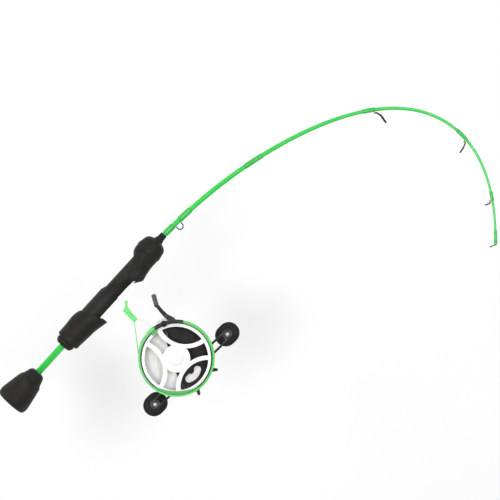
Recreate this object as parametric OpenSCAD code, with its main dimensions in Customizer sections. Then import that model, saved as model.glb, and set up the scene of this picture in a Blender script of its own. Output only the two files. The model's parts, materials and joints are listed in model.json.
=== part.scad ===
// Ice fishing rod with an inline free-fall reel.
// +X runs along the handle from the butt to the tip, +Z is up and the reel hangs below the handle.
// The crank is on the +Y side. The origin is the centre of the butt's end face.

/* [Rod blank] */
// Length of the whole rod along its bend
rod_length = 635; // [560:1:765]
// Diameter of the blank inside the handle
blank_butt_d = 6.4; // [5.4:0.1:7.6]
// Diameter of the blank where it leaves the front grip
blank_front_d = 5.2; // [4.4:0.1:6]
// Diameter of the blank at the tip
blank_tip_d = 1.9; // [1.4:0.1:2.2]
// Part of the loaded bend that is spread evenly, in degrees
bend_even = 50.3; // [30:0.1:62]
// Part of the loaded bend that gathers near the tip, in degrees
bend_tip = 91; // [40:1:100]
// Where the tip bend is centred, as a share of the bent length
bend_place = 0.718; // [0.6:0.001:0.8]
// How far the tip bend is spread out, as a share of the bent length
bend_spread = 0.085; // [0.06:0.001:0.12]

/* [Handle] */
// Length of the butt cap
butt_length = 38.5; // [32:0.5:48]
// Largest diameter of the butt cap
butt_d = 31; // [26:0.5:37]
// Length of bare blank between the butt cap and the lock nut
bare_length = 33.3; // [26:0.1:42]
// Length of the domed ring of the lock nut
nut_length = 5.4; // [4.5:0.1:7]
// Length of the rear hood from its back face to the tip of its beak
hood_length = 37.9; // [36:0.1:40]
// Diameter of the reel seat's barrel
seat_d = 18.4; // [15.2:0.1:19.4]
// Diameter of the thinner neck of the reel seat
neck_d = 14.9; // [14:0.1:15.4]
// Height of the front grip's bulb
bulb_d = 25.3; // [22:0.1:28]
// Length of the front grip from its nose to the tip of its beak
front_length = 36.4; // [34:0.1:40]

/* [Reel foot and frame] */
// Depth of the spool axis below the rod axis
reel_drop = 85.4; // [80:0.1:104]
// Outer diameter of the frame ring
ring_d = 70.4; // [68:0.1:85]
// Radial wall of the near rail of the frame
ring_wall = 2.3; // [1.8:0.1:2.6]
// Length of the reel foot
foot_length = 57.5; // [56:0.1:58.5]
// Width of the reel foot
foot_w = 12; // [10:0.1:12.4]
// Thickness of the reel foot
foot_t = 2.4; // [2:0.1:2.5]

/* [Spool] */
// Gap between the spool's flanges and the near rail
spool_gap = 0.9; // [0.5:0.1:1.2]
// Width of the line channel between the flanges
channel_w = 12.2; // [10:0.1:12.4]
// Radial depth of the line channel
channel_depth = 1.6; // [1.3:0.1:2.2]
// Diameter of the solid disc in the middle of the spool
hub_d = 25.4; // [22:0.1:28]

/* [Gears] */
// Gear module
gear_module = 0.6; // [0.5:0.01:0.64]
// Teeth on the drive gear, on the crank shaft
drive_teeth = 42; // [42:2:42]
// Teeth on the pinion, on the spool axis
pinion_teeth = 16; // [16:2:16]

/* [Crank] */
// Distance from the crank axis to each knob's axis
crank_r = 46.9; // [44:0.1:57]
// Angle of the crank at rest, in degrees below the handle's line
crank_tilt = 3.4; // [0:0.1:20]
// Distance between the centre lines of the arm's two bars
bar_gap = 7.4; // [6.4:0.1:8]
// Width of each bar of the arm
bar_w = 2.2; // [1.8:0.1:2.6]
// Length of a knob's oval
knob_l = 24.2; // [20:0.1:29]
// Width of a knob's oval
knob_w = 20.4; // [17:0.1:22]
// Depth of a knob along its axis
knob_depth = 13; // [11:0.1:16]
// Radius of the star drag's tips
star_r = 25; // [22:0.1:30]

/* [Trigger] */
// Angle round the ring of the trigger's pivot, from the handle's line
trigger_angle = 62; // [56:1:64]
// Travel of the trigger, in degrees
trigger_travel = 18; // [10:1:20]
// Travel of the release yoke
yoke_travel = 1.6; // [1.4:0.1:1.7]

/* [Guides] */
// Outer diameter of the first line guide's ring
guide_1_d = 9.9; // [9.4:0.1:12]
// Outer diameter of the second line guide's ring
guide_2_d = 7.2; // [6:0.1:8.7]
// Outer diameter of the third line guide's ring
guide_3_d = 5.6; // [4.8:0.1:6.7]
// Outer diameter of the tip-top's ring
tip_ring_d = 5; // [4.2:0.1:6]

/* [Hidden] */
$fn = 64;

fit = 0.05;             // radial clearance of a piece that turns or slides on another
seat_fit = 0.03;        // radial clearance of a glued or seated piece
lap = 0.1;              // how far a cutter runs past the face that it cuts
grip_black = "#26262a";
rod_green = "#35cf55";

// ---- places along the handle, from the butt's end face ----
nut_x = butt_length + bare_length;
hood_x = nut_x + nut_length + 0.6;
beak_x = hood_x + hood_length;
reel_x = beak_x + 18.5;
foot_x0 = beak_x - 10;
foot_x1 = foot_x0 + foot_length;
neck_x = beak_x + 21.9;
front_beak_x = foot_x1 + 3.3;
handle_length = front_beak_x + front_length;
nose_x = handle_length - 15.8;
check_length = 7.8;
bend_x = handle_length - 7.4;
bend_length = rod_length - bend_x;

// ---- the bent blank: a heading that turns evenly, plus a turn gathered near the tip ----
function gather(u) = 1 / (1 + exp(-(u - bend_place) / bend_spread));
function heading(s) = let (u = s / bend_length) -(bend_even * u + bend_tip * (gather(u) - gather(0)));
bend_steps = 220;
bend_step = bend_length / bend_steps;
bend_points = [for (i = 0, x = bend_x, z = 0; i <= bend_steps;
                    h = heading((i + 0.5) * bend_step),
                    x = x + bend_step * cos(h), z = z + bend_step * sin(h), i = i + 1) [x, 0, z]];
function blank_at(s) = let (n = min(max(s / bend_step, 0), bend_steps - 0.001), i = floor(n))
    bend_points[i] + (n - i) * (bend_points[i + 1] - bend_points[i]);
function blank_r(s) = (blank_front_d + (blank_tip_d - blank_front_d) * s / bend_length) / 2;

module on_blank(s) translate(blank_at(s)) rotate([0, -heading(s), 0]) children();

// ---- places along the blank, as distances from where its bend starts ----
check_end = handle_length + check_length - bend_x;
keeper_rear = [check_end + 0.5, check_end + 12];
keeper_front = [check_end + 19.2, check_end + 34];
keeper_legs = [keeper_rear[1] + 0.9, keeper_front[0] - 0.4];
band_span = [0.255, 0.3] * bend_length;
guide_s = [0.5575, 0.77, 0.91] * bend_length;        // tip end of each guide's wrap
wrap_length = [12.1, 14.3, 9.8];
guide_d = [guide_1_d, guide_2_d, guide_3_d];
guide_reach = [9.6, 9.2, 5];                         // ring centre below the blank's centre line
guide_ahead = [6.2, 3.6, 2];                         // ring centre ahead of the wrap's end
guide_lean = [26, 16, 10];                           // lean of the ring towards the tip
guide_wire = [1.5, 1.3, 1.1];
insert_wire = 0.9;                                   // width of a guide's ring insert
tip_wrap = [bend_length - 13, bend_length - 5.2];
tip_tube_length = 9;

// ---- reel: places across it, from the rod's middle plane ----
near_rail = [-9.5, -7.2];
lip_y = near_rail[0] - 0.9;
spool_near = -9;
flange_t = 1.6;
channel = [spool_near + flange_t, spool_near + flange_t + channel_w];
spool_far = channel[1] + 1;
far_rail = [6.8, 9.2];
plate = [9.3, 10.9];
case_floor = [11, 12.4];
case_end = 20.9;
cover = [21, 23];
gear_y = [13.2, 15.8];
pinion_teeth_y = [12.8, 16.8];
groove_y = [17, 18.2];
yoke_y = [17.1, 18.1];
pinion_end = 19;
hex_y = [5.2, 8];
spool_hub_end = 6.4;
star_y = [24.6, 28.6];
arm_y = [30.4, 32.8];
knob_y = arm_y[1] + 0.8;
trigger_y = [-12.2, -10.6];

// ---- reel: radii and axes ----
ring_r = ring_d / 2;
spool_r = ring_r - ring_wall - spool_gap;
rim_r = spool_r - channel_depth;                     // floor of the line channel
window_r = rim_r - 0.9;                              // inner wall of the spool's rim
reel_z = -reel_drop;
centre_distance = gear_module * (drive_teeth + pinion_teeth) / 2;
crank_z = reel_z - centre_distance;
spool_shaft_r = 1.5;
crank_shaft_r = 2;
trigger_shaft_r = 1.3;
trigger_r = ring_r - trigger_shaft_r;
trigger_x = reel_x + trigger_r * cos(trigger_angle);
trigger_z = reel_z + trigger_r * sin(trigger_angle);
spool_bearing_r = 4;
crank_bearing_r = 5;
hex_r = 2.8;
seat_floor = seat_d / 2 - 1;                         // depth of the flat that the foot lies on
foot_z = -seat_floor - 0.05;
foot_taper = 13;                                     // length of the foot's thinner ends
foot_end_t = 0.9;
screw_r = 1;

// ---- helpers ----
module along_y(span)
    translate([0, span[1], 0]) rotate([90, 0, 0]) linear_extrude(span[1] - span[0]) children();
module rod_y(r, span) translate([0, span[1], 0]) rotate([90, 0, 0]) cylinder(r = r, h = span[1] - span[0]);
module rod_x(r, span) translate([span[0], 0, 0]) rotate([0, 90, 0]) cylinder(r = r, h = span[1] - span[0]);
module lathe_y(points) rotate([-90, 0, 0]) rotate_extrude() polygon(points);
module lathe_x(points) rotate([0, 90, 0]) rotate_extrude() polygon(points);
module at_reel() translate([reel_x, 0, reel_z]) children();
module at_crank() translate([reel_x, 0, crank_z]) children();
module at_trigger() translate([trigger_x, 0, trigger_z]) children();
module at_star() at_crank() rotate([0, 47.6, 0]) children();
module at_knobs(side) at_crank() rotate([0, crank_tilt, 0]) translate([side * crank_r, 0, 0]) children();
module annulus(outer, inner) difference() { circle(outer); circle(inner); }
module sector(r, from, to) {
    steps = max(2, ceil((to - from) / 30));
    reach = r / cos((to - from) / steps / 2);
    polygon(concat([[0, 0]], [for (i = [0 : steps]) let (a = from + (to - from) * i / steps)
                              reach * [cos(a), sin(a)]]));
}
module arc_band(outer, inner, from, to) intersection() {
    annulus(outer, inner);
    sector(outer * 1.2, from, to);
}

// Joins rings of points into one closed skin. Each ring runs counter-clockwise about the direction of travel.
module skin(rings) {
    n = len(rings[0]);
    last = len(rings) - 1;
    polyhedron(
        points = [for (ring = rings) each ring],
        faces = concat(
            [[for (j = [0 : n - 1]) j]],
            [[for (j = [n - 1 : -1 : 0]) last * n + j]],
            [for (i = [0 : last - 1], j = [0 : n - 1], half = [0, 1])
                let (k = (j + 1) % n, a = i * n, b = a + n)
                half == 0 ? [a + j, b + j, b + k] : [a + j, b + k, a + k]]));
}
function ring_on_blank(s, r, sides) = let (p = blank_at(s), h = heading(s))
    [for (j = [0 : sides - 1]) let (a = 360 * j / sides)
        p + r * [-sin(h) * sin(a), cos(a), cos(h) * sin(a)]];
module blank_skin(from, to, grow, steps, sides = 12)
    skin([for (i = [0 : steps]) let (s = from + (to - from) * i / steps)
          ring_on_blank(s, blank_r(s) + grow, sides)]);

// A thread wrap: a sleeve round the blank with tapered ends.
wrap_fit = 0.06;
module wrap(span, thick, steps = 6) {
    taper = min(2.2, (span[1] - span[0]) / 4);
    length = span[1] - span[0];
    cuts = concat([0], [for (i = [0 : steps]) taper + (length - 2 * taper) * i / steps], [length]);
    difference() {
        skin([for (i = [0 : len(cuts) - 1]) let (s = span[0] + cuts[i])
              ring_on_blank(s, blank_r(s) + wrap_fit + (i == 0 || i == len(cuts) - 1 ? 0.12 : thick), 12)]);
        blank_skin(span[0] - 1, span[1] + 1, wrap_fit, 2 * steps);
    }
}

// A body whose cross-sections are ovals. Each row of the outline is [x, top, bottom, half width].
module oval_loft(outline, steps, sides = 32) {
    x0 = outline[0][0];
    x1 = outline[len(outline) - 1][0];
    tops = [for (row = outline) [row[0], row[1]]];
    bottoms = [for (row = outline) [row[0], row[2]]];
    halves = [for (row = outline) [row[0], row[3]]];
    skin([for (i = [0 : steps]) let (x = x0 + (x1 - x0) * i / steps, top = lookup(x, tops),
          bottom = lookup(x, bottoms), half = lookup(x, halves))
          [for (j = [0 : sides - 1]) let (a = 360 * j / sides)
              [x, half * cos(a), (top + bottom) / 2 + (top - bottom) / 2 * sin(a)]]]);
}

// ---- rod ----
module blank() color(rod_green) {
    rod_x(blank_butt_d / 2, [4, neck_x]);
    translate([neck_x, 0, 0]) rotate([0, 90, 0])
        cylinder(r1 = blank_butt_d / 2, r2 = blank_front_d / 2 + 0.01, h = bend_x + 1 - neck_x);
    blank_skin(0, bend_length, 0, 72);
}

module butt_cap() color(grip_black) {
    big = butt_d / 2;
    corner = 3.2;
    step_x = butt_length * 0.745;
    front_r = big * 0.52;
    lathe_bore = blank_butt_d / 2 + seat_fit;
    difference() {
        lathe_x(concat(
            [[0, 0], [big - corner - 0.3, 0]],
            [for (a = [15 : 15 : 75]) [big - corner - 0.3 + corner * sin(a), corner * 1.9 * (1 - cos(a)) / 1.55]],
            [[big, butt_length * 0.165], [big * 0.96, butt_length * 0.27], [big * 0.84, butt_length * 0.535],
             [big * 0.755, step_x - 1.6], [big * 0.70, step_x], [big * 0.665, step_x + 0.4],
             [big * 0.60, butt_length * 0.82], [front_r, butt_length * 0.93],
             [front_r * 0.86, butt_length * 0.975], [front_r * 0.66, butt_length], [0, butt_length]]));
        rod_x(lathe_bore, [3.9, butt_length + lap]);
    }
}

thread_r = seat_d / 2 - 2.8;                         // crest of the seat tube's rear thread
thread_pitch = 2.1;                                  // five turns slide the hood back by 10.5
thread_x = nut_x + 2;                                // rear end of the seat tube
sleeve_length = 13;
sleeve_r = seat_d / 2 - 1;
barrel_x0 = hood_x + sleeve_length + 2.4;
threads = floor((barrel_x0 - thread_x - 1) / thread_pitch);
module lock_nut() color(grip_black) {
    dome = seat_d / 2;
    difference() {
        union() {
            lathe_x([[0, nut_x], [dome * 0.72, nut_x], [dome * 0.88, nut_x + nut_length * 0.25],
                     [dome * 0.97, nut_x + nut_length * 0.55], [dome, nut_x + nut_length * 0.8],
                     [dome * 0.97, nut_x + nut_length], [0, nut_x + nut_length]]);
            rod_x(sleeve_r, [nut_x + nut_length - lap, nut_x + nut_length + sleeve_length]);
        }
        rod_x(blank_butt_d / 2 + 0.3, [nut_x - lap, nut_x + nut_length]);
        rod_x(thread_r + fit, [nut_x + 1, nut_x + nut_length + sleeve_length + lap]);
        for (i = [0 : 17]) rotate([i * 20, 0, 0]) translate([nut_x + 0.8, 0, dome + 0.75])
            rod_x(1.1, [0, nut_length]);
    }
}

// The rear hood's front edge is one arc, seen from the side, that ends in the beak.
hood_arc_r = 54.6;
// Each row is a place along the hood and how far its top, bottom and sides stand off the seat's barrel.
hood_rows = [[0, 1.2, 1.6, 1.6], [1, 2, 2.6, 2.5], [6, 2, 2.8, 2.7], [12, 2.2, 3.3, 2.9], [17, 2.7, 3.7, 3.1],
             [20, 2.8, 3.9, 3.1], [23, 2.6, 4, 3], [26, 2, 4.5, 2.8], [29, 1.1, 5.1, 2.6], [32, 0.8, 5.7, 2.3],
             [35, 0.7, 6.3, 1.9], [39, 0.6, 6.8, 1.4]];
module rear_hood() color(grip_black) difference() {
    r = seat_d / 2;
    intersection() {
        oval_loft([for (row = hood_rows) [hood_x + row[0], r + row[1], -r - row[2], r + row[3]]], 26);
        translate([beak_x - 54.4, 0, -20.2]) rod_y(hood_arc_r, [-20, 20]);
    }
    rod_x(seat_d / 2 + fit, [hood_x + sleeve_length + 1.5, beak_x + 5]);
    rod_x(sleeve_r + 0.2, [hood_x - lap, hood_x + sleeve_length + 2]);
    translate([foot_x0 - 0.3, -foot_w / 2 - 0.3, foot_z - foot_t - 0.25])
        cube([40, foot_w + 0.6, foot_t + 1.5]);
}

module seat_tube() color("#1f1f22") {
    barrel_x1 = neck_x - 3;
    r = seat_d / 2;
    thin = neck_d / 2;
    difference() {
        lathe_x(concat(
            [[blank_butt_d / 2 + seat_fit, thread_x]],
            [for (i = [0 : threads - 1]) let (x = thread_x + i * thread_pitch)
                each [[thread_r - 0.6, x], [thread_r, x + 0.8], [thread_r, x + 1.3]]],
            [[thread_r - 0.6, barrel_x0 - 0.1], [r - 0.4, barrel_x0], [r, barrel_x0 + 0.5], [r, barrel_x1],
             [r - 0.5, barrel_x1 + 1.4], [thin, neck_x + 2.5], [thin, nose_x - 1.5],
             [blank_butt_d / 2 + seat_fit, nose_x - 1.5]]));
        translate([barrel_x0 - 1, -r, -r - 1]) cube([foot_x1 - barrel_x0 + 2, 2 * r, r + 1 - seat_floor]);
    }
}

// The front grip wraps the seat's neck, ends behind in a beak over the foot and swells into a bulb.
grip_x = neck_x + 2.6;
module front_grip() color(grip_black) difference() {
    skin_r = neck_d / 2 + 0.35;
    bulb = bulb_d / 2;
    oval_loft([[grip_x, skin_r, -skin_r, skin_r], [front_beak_x - 12.5, skin_r, -skin_r - 0.1, skin_r],
               [front_beak_x - 10, skin_r, -8.6, skin_r + 0.5], [front_beak_x - 7.5, skin_r, -10.2, skin_r + 1.1],
               [front_beak_x - 4.7, skin_r, -12.1, skin_r + 1.8], [front_beak_x - 2, skin_r, -13.9, skin_r + 2.3],
               [front_beak_x, skin_r, -14.6, skin_r + 2.5], [front_beak_x + 3, skin_r, -13.9, skin_r + 2.7],
               [front_beak_x + 6, skin_r, -13.1, skin_r + 3], [front_beak_x + 9, skin_r + 0.1, -12.7, skin_r + 3.3],
               [front_beak_x + 11.5, 9, -12.3, skin_r + 3.6], [front_beak_x + 14.2, 10.9, -12.2, skin_r + 3.9],
               [front_beak_x + 17, bulb - 0.9, -bulb + 0.5, bulb - 0.8], [nose_x - 0.6, bulb - 0.3, -bulb + 0.3, bulb - 0.3],
               [nose_x, bulb - 0.7, -bulb + 0.7, bulb - 0.7]], 40);
    rod_x(neck_d / 2 + seat_fit, [grip_x - 1, nose_x - 1.5 + fit]);
    rod_x(blank_butt_d / 2 + 0.1, [grip_x - 1, nose_x + 1]);
    translate([front_beak_x - 8, 0, 29]) rod_y(28.4, [-20, 20]);
    along_y([-foot_w / 2 - 0.2, foot_w / 2 + 0.2]) polygon([
        [foot_x0, foot_z + 0.3], [foot_x0, foot_z - foot_t - 0.2], [foot_x1 - foot_taper, foot_z - foot_t - 0.2],
        [foot_x1 + 0.4, foot_z - foot_end_t - 0.15], [foot_x1 + 0.4, foot_z + 0.3]]);
}

module grip_nose() color(grip_black) {
    bulb = bulb_d / 2;
    x0 = nose_x + 0.1;
    difference() {
        lathe_x([[0, x0], [bulb - 0.6, x0], [bulb, x0 + 1.8], [bulb - 0.15, x0 + 3.6], [bulb - 0.7, x0 + 6],
                 [bulb - 1.3, x0 + 9], [bulb - 1.9, x0 + 11.2], [bulb - 2.9, x0 + 12.6], [bulb - 4.6, x0 + 13.9],
                 [bulb - 7, x0 + 14.9], [bulb - 8.3, x0 + 15.7], [0, x0 + 15.7]]);
        rod_x(blank_butt_d / 2 + 0.1, [x0 - 1, x0 + 20]);
    }
}

module winding_check() color("#17171a") difference() {
    lathe_x([[0, handle_length + 0.05], [4.1, handle_length + 0.05], [4.3, handle_length + 0.6],
             [4.1, handle_length + 1.4], [3.5, handle_length + 2.6], [3.25, handle_length + check_length - 0.6],
             [3.05, handle_length + check_length], [0, handle_length + check_length]]);
    rod_x(blank_front_d / 2 + 0.18, [handle_length - 1, handle_length + check_length + 1]);
}

// ---- hook keeper, wraps and line guides ----
module hook_keeper() color("#3a3d40") {
    wire = 0.55;
    drop = 5.1;
    mid = (keeper_legs[0] + keeper_legs[1]) / 2;
    half = (keeper_legs[1] - keeper_legs[0]) / 2;
    on_blank(mid) {
        r = blank_r(mid);
        translate([0, 0, -r - drop + half]) rotate([90, 0, 0])
            intersection() {
                rotate_extrude() translate([half, 0]) circle(wire);
                translate([-half - 2, -half - 2, -1]) cube([2 * half + 4, half + 2, 2]);
            }
        for (side = [-1, 1]) {
            translate([side * half, 0, -r - drop + half]) cylinder(r = wire, h = drop - half - 0.62);
            translate([side * half, 0, -r - 0.62]) sphere(wire * 1.02);
        }
    }
}

module wrap_keeper_rear() color(rod_green) wrap(keeper_rear, 0.55);
module wrap_keeper_front() color(rod_green) wrap(keeper_front, 0.55);
module wrap_band() color(rod_green) wrap(band_span, 0.35);

module guide_wrap(i) color(rod_green) wrap([guide_s[i] - wrap_length[i], guide_s[i]], 0.5);
module wrap_guide_1() guide_wrap(0);
module wrap_guide_2() guide_wrap(1);
module wrap_guide_3() guide_wrap(2);
module wrap_tip() color(rod_green) wrap(tip_wrap, 0.35);
module guide_frame(i) color("#2b2d30") {
    wire = guide_wire[i] / 2;
    reach = guide_reach[i];
    ahead = guide_ahead[i];
    hold = guide_d[i] / 2 - wire;
    s = guide_s[i];
    r = blank_r(s);
    on_blank(s) {
        translate([ahead, 0, -reach]) rotate([0, 90 - guide_lean[i], 0])
            rotate_extrude() translate([hold, 0]) circle(wire);
        foot_end = [0.8, 0, -r - wire - 0.7];
        ring_top = [ahead, 0, -reach] + hold * [-sin(guide_lean[i]), 0, cos(guide_lean[i])];
        hull() {
            translate(foot_end) sphere(wire, $fn = 16);
            translate(ring_top) sphere(wire * 0.9, $fn = 16);
        }
        for (side = [-1, 1]) hull() {
            translate(foot_end) sphere(wire * 0.8, $fn = 12);
            translate([ahead, 0, -reach]) rotate([0, -guide_lean[i], 0])
                translate([0, side * hold * 0.75, hold * 0.66]) sphere(wire * 0.8, $fn = 12);
        }
        hull() {
            translate(foot_end) sphere(wire, $fn = 16);
            translate([-1.2, 0, -r - wire - 0.62]) sphere(wire * 0.8, $fn = 16);
        }
    }
}
module guide_insert(i) color("#1c1e20") {
    wire = guide_wire[i] / 2;
    outer = guide_d[i] / 2 - 2 * wire - 0.02;
    inner = outer - insert_wire * (i == 0 ? 0.55 : 0.4);
    wide = 0.62;
    on_blank(guide_s[i]) translate([guide_ahead[i], 0, -guide_reach[i]]) rotate([0, 90 - guide_lean[i], 0])
        rotate_extrude() polygon([[inner, -wide * 0.5], [inner + 0.12, -wide], [outer, -wide], [outer, wide],
                                  [inner + 0.12, wide], [inner, wide * 0.5]]);
}

module guide_frame_1() guide_frame(0);
module guide_frame_2() guide_frame(1);
module guide_frame_3() guide_frame(2);
module guide_ring_1() guide_insert(0);
module guide_ring_2() guide_insert(1);
module guide_ring_3() guide_insert(2);

tip_lean = 27;                                       // lean of the tip-top's ring
tip_ring_place = [2.1, 0, 0.42 - tip_ring_d / 2 - blank_tip_d / 2 - 0.4];
tip_wire = 0.42;
module tip_tube() color(rod_green) {
    r = blank_tip_d / 2 + 0.1;
    difference() {
        union() {
            skin([for (i = [0 : 4]) let (s = bend_length - tip_tube_length * 0.55 * (1 - i / 4))
                  ring_on_blank(s, r + 0.55 - (i == 0 ? 0.3 : 0), 16)]);
            on_blank(bend_length) rod_x(r + 0.35, [-0.5, 0.7]);
        }
        blank_skin(bend_length - 9, bend_length - 0.2, 0.06, 8);
        on_blank(bend_length) rod_x(blank_tip_d / 2 + 0.05, [-0.4, 0.05]);
    }
}
module tip_frame() color("#2b2d30") {
    hold = tip_ring_d / 2 - tip_wire;
    on_blank(bend_length) {
        translate(tip_ring_place) rotate([0, 90 - tip_lean, 0])
            rotate_extrude() translate([hold, 0]) circle(tip_wire);
        rod_x(0.85, [0.72, 1.2]);
        hull() {
            translate([1.25, 0, -0.35]) sphere(0.45, $fn = 16);
            translate(tip_ring_place + hold * [-sin(tip_lean), 0, cos(tip_lean)])
                sphere(tip_wire * 0.9, $fn = 16);
        }
    }
}
tip_ring_inner = tip_ring_d / 2 - 0.84 - 0.02 - 0.3;
module tip_ring() color("#1c1e20") {
    outer = tip_ring_d / 2 - 0.84 - 0.02;
    on_blank(bend_length) translate(tip_ring_place) rotate([0, 90 - tip_lean, 0])
        rotate_extrude() polygon([[tip_ring_inner, -0.3], [tip_ring_inner + 0.1, -0.5], [outer, -0.5],
                                  [outer, 0.5], [tip_ring_inner + 0.1, 0.5], [tip_ring_inner, 0.3]]);
}

// ---- reel foot, frame and stem ----
white = "#f4f5f2";
boss_x = -0.1;                                       // foot's round boss, from the spool axis
boss_z = foot_z - 4.15;
boss_r = 6.9;
boss_half = 5;
foot_screw_x = reel_x + 0.8;
module reel_foot() color(white) difference() {
    union() {
        intersection() {
            translate([foot_x0, -foot_w / 2, foot_z - foot_t]) cube([foot_length, foot_w, foot_t]);
            along_y([-foot_w / 2, foot_w / 2]) polygon([
                [foot_x0, foot_z], [foot_x0, foot_z - foot_end_t], [foot_x0 + foot_taper, foot_z - foot_t],
                [foot_x1 - foot_taper, foot_z - foot_t], [foot_x1, foot_z - foot_end_t], [foot_x1, foot_z]]);
            translate([(foot_x0 + foot_x1) / 2, 0, foot_z - foot_t - 1]) linear_extrude(foot_t + 2) union() {
                square([foot_length - foot_w, foot_w], center = true);
                for (side = [-1, 1]) translate([side * (foot_length - foot_w) / 2, 0]) circle(foot_w / 2);
            }
        }
        intersection() {
            translate([reel_x + boss_x, 0, boss_z]) rod_y(boss_r, [-boss_half, boss_half]);
            translate([reel_x - 20, -10, -40]) cube([40, 20, 40 + foot_z - 0.3]);
        }
    }
    translate([foot_screw_x, 0, boss_z - 20]) cylinder(r = 1.3, h = 30);
    translate([foot_screw_x, 0, foot_z - 1.6]) cylinder(r = 2.6, h = 3);
}

module foot_screw() color("#c9cccf") translate([foot_screw_x, 0, 0]) difference() {
    union() {
        translate([0, 0, foot_z - 1.55]) cylinder(r = 2.4, h = 1.4);
        translate([0, 0, boss_z - 15.6]) cylinder(r = 1.2, h = foot_z - 1 - boss_z + 15.6);
    }
    translate([0, 0, foot_z - 1]) cylinder(r = 1.1, h = 2, $fn = 6);
}

// Outline of the neck between the foot and the ring, from the spool axis. Its top hooks round the foot's boss.
// rear and front shift its two edges.
module neck_outline(rear = 0, front = 0) polygon([
    [-1.1 + rear, boss_z - 5.5], [-2 + rear, reel_z + 52.2], [-4.8 + rear, reel_z + 47.6],
    [-12.2 + rear * 1.3, reel_z + 39.3], [-17.7 + rear * 1.4, reel_z + 32.8], [-31 + rear * 2, reel_z + 16.2],
    [5.8 + front, reel_z + 30.7], [5.8 + front, reel_z + 36.7], [3.8 + front, reel_z + 43.7],
    [2.6 + front, reel_z + 51.3], [3.2 + front, boss_z - 14.5], [4.3 + front, boss_z - 8.1],
    [6.4 + front, boss_z - 5.9], [8.8 + front, boss_z - 3.9], [7.1 + front, boss_z - 1.9], [5.9, boss_z - 1.2]]);

lip_turn = 221.5;                                    // middle of the thumb lip, round the ring
lip_width = 5.3;
lip_arc = 48;
posts = [[86, 150], [186, 240], [298, 328]];
module reel_frame() color("#41cf5c") difference() {
    union() {
        at_reel() {
            along_y(near_rail) annulus(ring_r, ring_r - ring_wall);
            along_y(far_rail) annulus(ring_r, ring_r - 3.4);
            along_y([near_rail[0] + 0.5, far_rail[1] - 0.5]) for (post = posts)
                arc_band(ring_r - 0.1, ring_r - ring_wall + 0.1, post[0], post[1]);
            along_y([lip_y, near_rail[0] + lap]) rotate(lip_turn) difference() {
                circle(ring_r - 0.15);
                translate([-(lip_arc - ring_r + lip_width), 0]) circle(lip_arc);
            }
            along_y([lip_y, near_rail[0] + lap]) rotate(-5) translate([-1.6, ring_r - 5.6]) square([6.2, 6.8]);
            for (rail = [near_rail, far_rail]) along_y([rail[0] + 0.05, rail[1] - 0.05]) difference() {
                rotate(trigger_angle) translate([trigger_r, 0]) circle(2.1);
                circle(ring_r - ring_wall + 0.1);
            }
        }
        difference() {
            translate([reel_x, 0, 0]) along_y([-4, 4]) neck_outline();
            at_reel() rod_y(ring_r - 0.6, [-20, 20]);
            translate([reel_x + boss_x, 0, boss_z]) rod_y(boss_r + 0.05, [-20, 20]);
        }
    }
    at_trigger() rod_y(trigger_shaft_r + fit, [-20, 20]);
    translate([foot_screw_x, 0, boss_z - 16.1]) cylinder(r = 1.2 + seat_fit, h = 20);
    for (a = plate_screw_turns) at_reel() rotate([0, -a, 0]) translate([ring_r - 1.7, 0, 0])
        rod_y(screw_r + seat_fit, [far_rail[0] - 1, far_rail[1] + 1]);
}

module stem_cover(span) difference() {
    translate([reel_x, 0, 0]) along_y(span) intersection() {
        neck_outline(1, 0.6);
        translate([-50, reel_z]) square([100, 50.7]);
    }
    at_reel() rod_y(ring_r + 0.3, [-20, 20]);
}
module stem_cover_near() color(white) stem_cover([-6.4, -4.05]);
module stem_cover_far() color(white) stem_cover([4.05, 6.4]);

// ---- spool ----
// The web has three lens windows, and three waisted windows between them. Each edge is an arc round a far centre.
lens_out = 1.342 * window_r;
lens_r = 0.864 * window_r;
waist_out = 1.376 * window_r;
waist_r = 1.027 * window_r;
lens_turns = [30, 150, 270];
web_t = 1.1;
web_r = window_r + 1.2;                              // the web lies in a recess of the near flange
module spool_windows() {
    for (turn = lens_turns) rotate(turn) intersection() {
        circle(window_r - 0.1);
        translate([lens_out, 0]) circle(lens_r);
    }
    for (turn = lens_turns) rotate(turn + 60) difference() {
        intersection() {
            annulus(window_r - 0.1, hub_d / 2 + 0.1);
            sector(60, -40, 40);
        }
        for (side = [-60, 60]) rotate(side) translate([waist_out, 0]) circle(waist_r);
    }
}
module spool_rim() color(white) at_reel() lathe_y([
    [web_r, spool_near], [spool_r - 0.3, spool_near], [spool_r, spool_near + 0.3], [spool_r, channel[0] - 0.4],
    [rim_r, channel[0]], [rim_r, channel[1]], [spool_r, channel[1] + 0.3], [spool_r, spool_far],
    [window_r, spool_far], [window_r, spool_near + web_t], [web_r, spool_near + web_t]]);
module spool_web() color(white) at_reel() difference() {
    union() {
        for (layer = [[web_r - seat_fit, 0.05, web_t - 0.02], [window_r - 0.05, web_t - 0.1, 2.3]])
            along_y([spool_near + layer[1], spool_near + layer[2]]) difference() {
                circle(layer[0]);
                spool_windows();
            }
        lathe_y([[0, spool_near - 0.35], [hub_d / 2 - 0.9, spool_near - 0.1], [hub_d / 2, spool_near + 0.6],
                 [hub_d / 2, spool_near + 2.4], [5.8, spool_near + 4], [5.8, spool_hub_end], [0, spool_hub_end]]);
    }
    rod_y(spool_bearing_r + seat_fit, [-20, 4.2]);
    rotate([0, 30, 0]) translate([0, spool_hub_end + lap, 0]) rotate([90, 0, 0])
        cylinder(r = hex_r + 0.12, h = 4, $fn = 6);
}

bearing_spans = [[spool_near - 0.3, -6.8], [1.6, 4.1]];
module spool_bearings() color("#b9bdc2") at_reel() for (span = bearing_spans) difference() {
    rod_y(spool_bearing_r, span);
    rod_y(spool_shaft_r + fit, [span[0] - 1, span[1] + 1]);
    for (face = [span[0] - 1, span[1] - 0.3]) difference() {
        rod_y(3.3, [face, face + 1.3]);
        rod_y(2.3, [face - 1, face + 3]);
    }
}

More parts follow.
